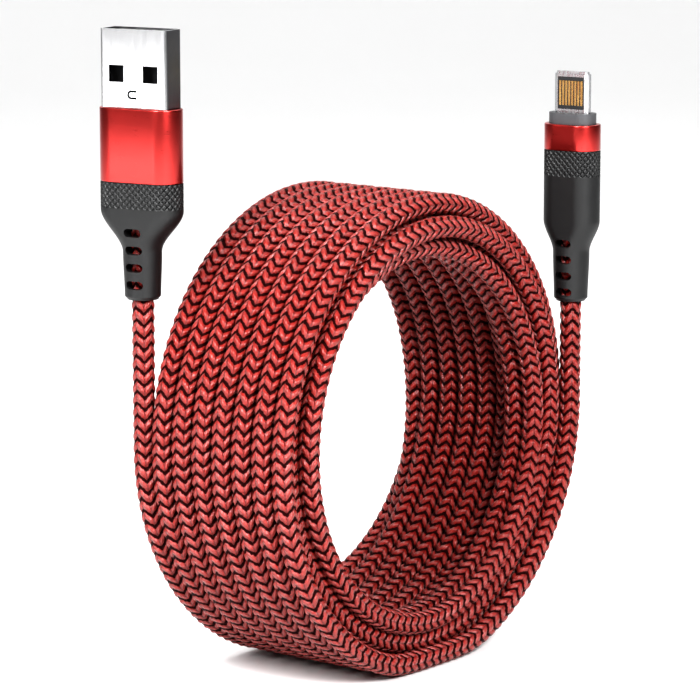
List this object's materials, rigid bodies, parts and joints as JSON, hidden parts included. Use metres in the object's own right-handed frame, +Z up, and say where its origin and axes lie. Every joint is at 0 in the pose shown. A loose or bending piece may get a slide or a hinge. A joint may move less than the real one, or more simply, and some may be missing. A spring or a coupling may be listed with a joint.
{
  "type": "charging cable",
  "caption": "Long red and black braided charging cable wound in a coil standing on its rim, with a USB-A plug and a flat reversible connector standing upright on their tails.",
  "frame": {"origin": "middle of the small flat under the coil, which it stands on", "axes": "+Z up; X along the coil's axis, +X towards its near opening; the USB-A plug is at -X -Y and the flat connector at +X +Y"},
  "size_m": [0.0418, 0.0819, 0.1048],
  "materials": {
    "nickel_shell": "bright nickel plate",
    "gold_contact": "gold plated",
    "green_board": "solder mask",
    "solder": "satin solder",
    "grey_mould": "moulded",
    "red_anodised": "red anodised, satin gloss",
    "black_rubber": "matte moulded, knurled band",
    "steel_clamp": "pressed",
    "wire_insulation": "extruded",
    "steel_tip": "satin",
    "black_plastic": "moulded",
    "base_plastic": "moulded",
    "chip_plastic": "moulded",
    "cord_braid": "two-colour braid, red with black zigzag lines"
  },
  "bodies": {
    "root": {"usb_shell": "nickel_shell", "usb_insulator": "black_plastic", "usb_contacts": "gold_contact", "usb_circuit_board": "green_board", "usb_solder_joints": "solder", "usb_inner_mould": "grey_mould", "usb_collar": "red_anodised", "usb_boot": "black_rubber", "usb_cable_clamp": "steel_clamp", "usb_wires": "wire_insulation", "connector_tip_frame": "steel_tip", "connector_insert": "black_plastic", "connector_contacts": "gold_contact", "connector_base": "base_plastic", "connector_circuit_board": "green_board", "connector_chips": "chip_plastic", "connector_solder_joints": "solder", "connector_inner_mould": "grey_mould", "connector_collar": "red_anodised", "connector_boot": "black_rubber", "connector_cable_clamp": "steel_clamp", "connector_wires": "wire_insulation", "cable_coil": "cord_braid", "usb_tail": "cord_braid", "connector_tail": "cord_braid"}
  },
  "joints": []
}
